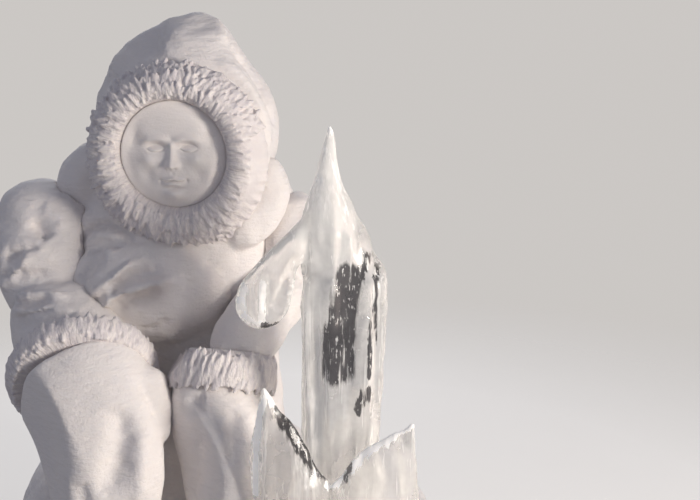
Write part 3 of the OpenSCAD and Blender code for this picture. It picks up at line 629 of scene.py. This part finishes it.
# Carved fur: one tuft, copied along the ruff and the cuffs
def make_tuft():
    """Pointed, slightly bent tuft of carved fur, one unit long, lying along +X."""
    bpy.ops.mesh.primitive_cone_add(vertices=6, radius1=0.42, radius2=0.17, depth=1, end_fill_type="NGON")
    tuft = bpy.context.object
    edit(tuft)
    bpy.ops.transform.translate(value=(0, 0, 0.5))
    bpy.ops.mesh.select_all(action="SELECT")
    bpy.ops.mesh.bisect(plane_co=(0, 0, 0.3), plane_no=(0, 0, 1))
    bpy.ops.transform.resize(value=(1.4, 1.4, 1))
    bpy.ops.mesh.select_all(action="SELECT")
    bpy.ops.mesh.bisect(plane_co=(0, 0, 0.65), plane_no=(0, 0, 1))
    bpy.ops.transform.resize(value=(1.5, 1.5, 1))
    bpy.ops.transform.translate(value=(0.08, 0, 0))
    bpy.ops.mesh.select_all(action="SELECT")
    bpy.ops.transform.rotate(value=math.radians(-90), orient_axis="Y", center_override=(0, 0, 0))
    done()
    return tuft


TUFT = make_tuft()


def copies_of(tuft, places):
    """Copies of a tuft, each with its own mesh, at places given as matrices."""
    made = []
    for place in places:
        copy = tuft.copy()
        copy.data = tuft.data.copy()
        copy.data.transform(place)
        bpy.context.scene.collection.objects.link(copy)
        made.append(copy)
    return made


def tuft_place(base, along, up, length, width, thickness):
    """Matrix of one tuft from its base point, its direction and the side that faces outwards."""
    along = along.normalized()
    side = up.cross(along).normalized()
    up = along.cross(side)
    turn = Matrix((along, side, up)).transposed().to_4x4()
    return Matrix.Translation(base) @ turn @ Matrix.Diagonal((length, width, thickness, 1))


def tuft_angle(number, row, count):
    """Angle of one tuft of a row: not quite even, and every second row is set off by half a step."""
    return 2 * math.pi * (number + 0.5 * (row % 2) + 0.3 * chance.uniform(-1, 1)) / count


def furred(node, rounds, tufts, voxel):
    """A ring of fur: the smoothed solid with tufts grown onto it."""
    name = node + "_form"
    ring = from_node(name, node)
    remesh(ring, 0.008)
    smooth(ring, rounds)
    ring = join(name, [ring] + copies_of(TUFT, tufts))
    remesh(ring, voxel)
    return ring


# Rows of tufts on the ruff: place across its band, count, length, width and rise
RUFF_ROWS = (
    (0.15, 112, 0.044, 0.0110, 0.02), (0.26, 116, 0.044, 0.0115, 0.10),
    (0.37, 120, 0.044, 0.0115, 0.14), (0.48, 124, 0.042, 0.0115, 0.16),
    (0.59, 128, 0.040, 0.0115, 0.16), (0.70, 132, 0.034, 0.0115, 0.12),
    (0.80, 136, 0.026, 0.0115, 0.08), (0.89, 140, 0.020, 0.0110, 0.04),
)


def ruff_point(angle, share, lift):
    """Point of the ruff's section: share runs from the inner edge to the rim."""
    height = np.interp(share, [0, 0.08, 0.3, 0.62, 0.84, 1], [0.62, 0.93, 1, 0.84, 0.52, 0.2])
    radius = RUFF_RADIUS - RUFF_BAND * (1 - share)
    return Vector((radius * math.cos(angle), RUFF_OVAL * radius * math.sin(angle),
                   RUFF_DEPTH * height + lift))


def ruff_tufts():
    """Rows of tufts from the smooth inner edge outwards; the rim at the right stays smooth."""
    places = []
    for row, (share, count, length, width, rise) in enumerate(RUFF_ROWS):
        for number in range(count):
            angle = tuft_angle(number, row, count)
            # 1 on the worn stretch at the right, 0 on the others
            worn = min(1, max(0, (math.cos(angle + 0.3) - 0.62) / 0.22))
            size = chance.uniform(0.75, 1.2)
            sway = 0.05 * chance.uniform(-1, 1)
            start = share + 0.07 * chance.uniform(-1, 1)
            if row > 1 and worn > (0.7 if row == 2 else 0.9):
                continue
            base = ruff_point(angle, start, -0.003 - 0.005 * worn)
            ahead = ruff_point(angle + sway, start + 0.14, -0.003 - 0.005 * worn)
            out = Vector((math.cos(angle), math.sin(angle), 0))
            along = (ahead - base).normalized() + Vector((0, 0, rise * (1 - 0.6 * worn)))
            places.append(HEAD @ tuft_place(base, along, Vector((0, 0, 1)) + 0.4 * out,
                                            length * size, width * (0.8 + 0.3 * size), 0.018 * size))
    return places


def set_ruff(ruff, drop=0.015, sink=0.014, back=0.03):
    """Lets the ruff's rim hang a little lower than its inner edge, and sets its back into the hood."""
    turn = np.array(HEAD)
    local = (points_of(ruff) - turn[:3, 3]) @ turn[:3, :3]
    radius = np.hypot(local[:, 0], local[:, 1] / RUFF_OVAL)
    local[:, 1] -= drop * np.clip((radius - RUFF_RADIUS + RUFF_BAND) / RUFF_BAND, 0, 1)
    local[:, 2] -= sink * np.clip(1 - local[:, 2] / back, 0, 1)
    move_points(ruff, local @ turn[:3, :3].T + turn[:3, 3])


ruff = furred("fur_ruff", rounds=14, tufts=ruff_tufts(), voxel=0.0031)
set_ruff(ruff)
smooth(ruff, 1)
place_piece(ruff, "fur_snow", RUFF_SNOW, "fur_ruff")

# The two cuffs in the figure: wrist, direction of the sleeve, half width, length, tufts in a row, lean,
# and the rows of tufts: share of the length, reach, flare and tuft length
CUFFS = {
    "left_cuff": ((-0.244, -0.410, 0.602), (0.165, -0.875, -0.46), 0.200, 0.074, 104, 0.05,
                  ((1.00, 0.92, 0.40, 0.038), (0.84, 0.97, 0.24, 0.038), (0.64, 0.99, 0.16, 0.036),
                   (0.42, 0.98, 0.10, 0.032))),
    "right_cuff": ((0.146, -0.410, 0.634), (-0.12, -0.34, -0.93), 0.150, 0.104, 72, 0.28,
                   ((1.04, 0.99, 0.14, 0.050), (0.86, 1.0, 0.10, 0.050), (0.64, 1.0, 0.06, 0.046),
                    (0.42, 0.98, 0.02, 0.036))),
}


def cuff_tufts(wrist, axis, radius, length, count, lean, rows):
    """Rows of tufts from the mitten's side of a cuff to its sleeve's side."""
    places = []
    axis = Vector(axis).normalized()
    side = Vector((0, 0, 1)).cross(axis).normalized()
    up = axis.cross(side)
    for row, (share, reach, flare, tuft_length) in enumerate(rows):
        for number in range(count):
            angle = tuft_angle(number, row, count)
            out = side * math.cos(angle) + up * math.sin(angle)
            size = chance.uniform(0.75, 1.25)
            base = (Vector(wrist) + axis * length * (share + 0.08 * chance.uniform(-1, 1))
                    + out * (radius * reach - 0.004))
            twist = axis.cross(out) * (0.14 * chance.uniform(-1, 1) - lean)
            along = -axis + out * flare + twist
            places.append(FIGURE @ tuft_place(base, along, out + 0.5 * axis, tuft_length * size,
                                              0.0110 * (0.8 + 0.3 * size), 0.016 * size))
    return places


for name, values in CUFFS.items():
    wrist, axis, radius = values[:3]
    turn = Vector(axis).to_track_quat("Z", "Y").to_matrix().to_4x4()
    fur = fur_snow(name + "_snow", FIGURE @ Matrix.Translation(wrist) @ turn, radius, False)
    cuff = furred(name, rounds=8, tufts=cuff_tufts(*values), voxel=0.0039)
    work_by_hand(cuff, name)
    smooth(cuff, 1)
    place_piece(cuff, "fur_snow", fur, name)

bpy.data.objects.remove(TUFT)

# Face: a calm, even face on a low round disc, worked out of a fine grid. Half width, height of the
# edge, rise of the middle over it and thickness in metres, and faces of the grid from side to side
FACE_RADIUS = 0.1505
FACE_RIM = 0.050
FACE_RISE = 0.038
FACE_THICKNESS = 0.046
FACE_GRID = 170
# Half width that the features are laid out on, in millimetres, and metres of relief for each of them
LAYOUT_RADIUS = 150
RELIEF = 0.0012


def bulge(x, y, across, along):
    """Soft round swelling, one unit high."""
    return np.exp(-(x / across) ** 2 - (y / along) ** 2)


def within(x, edge, soft):
    """1 where the size of x is below an edge, falling off softly."""
    return 1 / (1 + np.exp((np.abs(x) - edge) / soft))


def face_relief(x, y):
    """Height of the features over the face's dome, in millimetres, as are x and y."""
    s = np.abs(x)
    brow = 8 * np.exp(-((y - 47 + 0.0045 * (s - 40) ** 2) / 11) ** 2) * within(s - 44, 34, 7)
    sockets = -17 * bulge(s - 45, y - 24, 28, 17)
    lids = 14 * bulge(s - 47, y - 19, 21, 11.5)
    lid_line = -4.2 * np.exp(-((y - 11 - 0.012 * (s - 47) ** 2) / 2.3) ** 2) * within(s - 47, 23, 2)
    lid_fold = -2.6 * np.exp(-((y - 32 + 0.014 * (s - 47) ** 2) / 2.4) ** 2) * within(s - 47, 24, 3)
    along_nose = np.clip((40 - y) / 66, 0, 1)
    under = np.where(y < -24, np.exp(-((y + 24) / 9) ** 2), 1)
    bridge = (4 + 14 * along_nose ** 1.2) * np.exp(-(x / (9 + 5 * along_nose)) ** 2)
    bridge = bridge * under * np.clip((48 - y) / 16, 0, 1)
    tip = 4.5 * bulge(x, y + 20, 13, 11) + 6 * bulge(s - 14.5, y + 23, 7.5, 8)
    nostrils = -3 * bulge(s - 7.5, y + 33, 5, 3.5)
    groove = (-1.6 * np.exp(-(x / 4.5) ** 2) + 0.6 * np.exp(-((s - 9) / 4) ** 2)) * within(y + 48, 7, 2.5)
    mouth_line = -67 + 2.2 * np.exp(-(x / 9) ** 2) - 0.0022 * s ** 2 + 0.00008 * s ** 3
    upper_lip = 9.5 * np.exp(-((y - mouth_line - 6 + 0.12 * s) / 5.5) ** 2) * within(s, 29, 4)
    lower_lip = 11 * np.exp(-((y - mouth_line + 8.5) / 7) ** 2) * within(s, 22, 5)
    parting = -8 * np.exp(-((y - mouth_line) / 2.6) ** 2) * within(s, 32, 3)
    corners = -4.5 * bulge(s - 37, y + 67, 5, 6)
    muzzle = 6.5 * bulge(x, y + 58, 46, 30)
    under_lip = -7 * bulge(x, y + 88, 23, 6.5)
    chin = 14 * bulge(x, y + 106, 27, 16)
    cheeks = 8 * bulge(s - 68, y + 8, 25, 21) - 5 * bulge(s - 72, y + 56, 20, 24)
    folds = -1.0 * np.exp(-((s - 27 - 0.5 * (-26 - y)) / 8) ** 2) * within(y + 42, 15, 7)
    temples = -7 * bulge(s - 106, y - 44, 22, 34)
    jaw = -8 * (1 - within(np.hypot(x / 126, (y + 1) / 140), 1, 0.06))
    return (brow + sockets + lids + lid_line + lid_fold + bridge + tip + nostrils + groove + upper_lip
            + lower_lip + parting + corners + muzzle + under_lip + chin + cheeks + folds + temples + jaw)


def make_face():
    """Disc with the face's dome and features, closed at its back."""
    bpy.ops.object.select_all(action="DESELECT")
    bpy.ops.mesh.primitive_grid_add(x_subdivisions=FACE_GRID, y_subdivisions=FACE_GRID, size=2)
    face = bpy.context.object
    face.name = "face_form"
    square = points_of(face)[:, :2].astype(float)
    u, v = square[:, 0], square[:, 1]
    x, y = u * np.sqrt(1 - v * v / 2), v * np.sqrt(1 - u * u / 2)
    radius = np.clip(np.hypot(x, y), 0, 1)
    relief = face_relief(LAYOUT_RADIUS * x, LAYOUT_RADIUS * y) * np.clip(5 * (1 - radius), 0, 1)
    height = FACE_RIM + FACE_RISE * np.sqrt(1 - radius ** 2.6) + RELIEF * relief
    # The edge stands out more at the upper left
    height += 0.020 * np.clip(0.2 + (0.6 * y - 0.8 * x), 0, 1) * radius ** 6
    shaped = np.stack([FACE_RADIUS * x, RUFF_OVAL * FACE_RADIUS * y, height], 1)
    move_points(face, shaped)
    edit(face)
    bpy.ops.mesh.select_all(action="DESELECT")
    bpy.ops.mesh.select_mode(type="EDGE")
    bpy.ops.mesh.select_non_manifold()
    bpy.ops.mesh.extrude_region_move(TRANSFORM_OT_translate={"value": (0, 0, -FACE_THICKNESS)})
    bpy.ops.mesh.edge_face_add()
    bpy.ops.mesh.select_all(action="SELECT")
    bpy.ops.mesh.normals_make_consistent(inside=False)
    done()
    face.data.transform(HEAD)
    return face


place_piece(make_face(), "smooth_snow", SMOOTH_SNOW, "face")


# Forms of ice: name, voxel size, rounds of smoothing, seed, depth of the flutes, and the solids
ICE_FORMS = (
    ("ice_flame", 0.0048, 5, 3, 0.004, "ice_column", "tall_flame", "drooping_petal"),
    ("ice_hearth", 0.0075, 2, 5, 0.003, "ice_hearth"),
    ("left_flame", 0.0043, 2, 7, 0.003, "left_flame"),
    ("right_flame", 0.0043, 2, 8, 0.003, "right_flame"),
    ("rear_flame", 0.0043, 2, 9, 0.003, "rear_flame"),
)


def off_the_petal(points):
    """Share of the flutes that shows: all on the column, and hardly any on the petal."""
    return 0.15 + 0.85 * np.clip((points[:, 0] - COLUMN_LEFT) / 0.06, 0, 1)


def ice_form(name, voxel, rounds, seed, flute, *nodes):
    """One form of ice, with upright flutes, chisel facets and melted edges."""
    form = grown_together(name + "_form", voxel, ICE_GROWTH, rounds, nodes)
    work_by_hand(form, name)
    roughen(form, 0.055, flute, seed, stretch=(1, 1, 0.1), sharp=True,
            where=off_the_petal if name == "ice_flame" else None)
    roughen(form, 0.09, flute * 0.5, seed + 1, sharp=True)
    place_piece(form, "clear_ice", ICE, *nodes)


for values in ICE_FORMS:
    ice_form(*values)


# Floor, light and camera; the floor fades out from one distance on and over one length, in metres
FADE_START = 2.0
FADE_LENGTH = 2.0


def make_floor():
    """Pale floor that takes the object's shadow and fades into the backdrop further out."""
    bpy.ops.object.select_all(action="DESELECT")
    bpy.ops.mesh.primitive_plane_add(size=60, location=(0, 0, 0))
    floor = bpy.context.object
    floor.name = "floor"
    material, shader, here = new_material("floor_paint", Roughness=0.9, Emission_Strength=1.0)
    feed(shader, "Base Color", noise(here, 3.0).blend((0.36, 0.355, 0.35), (0.38, 0.375, 0.37)))
    seen = here.node("ShaderNodeLightPath", out="Is Camera Ray")
    feed(shader, "Emission Color", seen.blend((0, 0, 0), (0.47, 0.45, 0.435)))
    away = here.node("ShaderNodeVectorMath", {"operation": "LENGTH"}, out="Value", Vector=here)
    feed(shader, "Alpha", 1 - away.above(FADE_START, FADE_LENGTH))
    floor.data.materials.append(material)
    return floor


floor = make_floor()


def make_studio(light, backdrop):
    """World with one colour that lights the object, and one that is seen behind it."""
    world = bpy.data.worlds.new("studio")
    bpy.context.scene.world = world
    world.use_nodes = True
    tree = world.node_tree
    rays = tree.nodes.new("ShaderNodeLightPath").outputs
    seen = sum((Shade(tree, rays["Is " + kind + " Ray"]) for kind in ("Camera", "Glossy", "Transmission")),
               0.0).clip()
    feed(tree.nodes["Background"], "Color", seen.blend(light, backdrop))


make_studio((0.215, 0.225, 0.275), (0.60, 0.575, 0.555))

# Lamps: name, place, size, power and colour, and the point that all of them are turned to
LAMPS = (
    ("key", (3.6, -2.3, 1.3), 1.2, 172, (1, 0.93, 0.85)),
    ("fill", (-2.2, -2.6, 2.6), 2.4, 8, (0.88, 0.91, 1)),
    ("back", (-0.6, 2.6, 2.6), 1.6, 40, (0.96, 0.98, 1)),
)
LAMPS_AIM = Vector((0, 0, 1.0))

for name, place, size, power, colour in LAMPS:
    lamp = bpy.data.lights.new(name, "AREA")
    lamp.shape, lamp.size, lamp.energy, lamp.color = "SQUARE", size, power, colour
    stand = bpy.data.objects.new(name, lamp)
    stand.location = place
    stand.rotation_euler = (LAMPS_AIM - Vector(place)).to_track_quat("-Z", "Y").to_euler()
    bpy.context.scene.collection.objects.link(stand)

# Camera: its place, and in degrees how far it looks down and how much it takes in across
CAMERA_PLACE = (0.421, -2.468, 1.485)
CAMERA_DOWN = 10
CAMERA_ACROSS = 45

camera_data = bpy.data.cameras.new("camera")
camera_data.sensor_width = 36
camera_data.lens = camera_data.sensor_width / 2 / math.tan(math.radians(CAMERA_ACROSS / 2))
camera = bpy.data.objects.new("camera", camera_data)
camera.location = CAMERA_PLACE
camera.rotation_euler = (math.radians(90 - CAMERA_DOWN), 0, 0)
bpy.context.scene.collection.objects.link(camera)
bpy.context.scene.camera = camera
bpy.context.scene.view_settings.view_transform = "Standard"
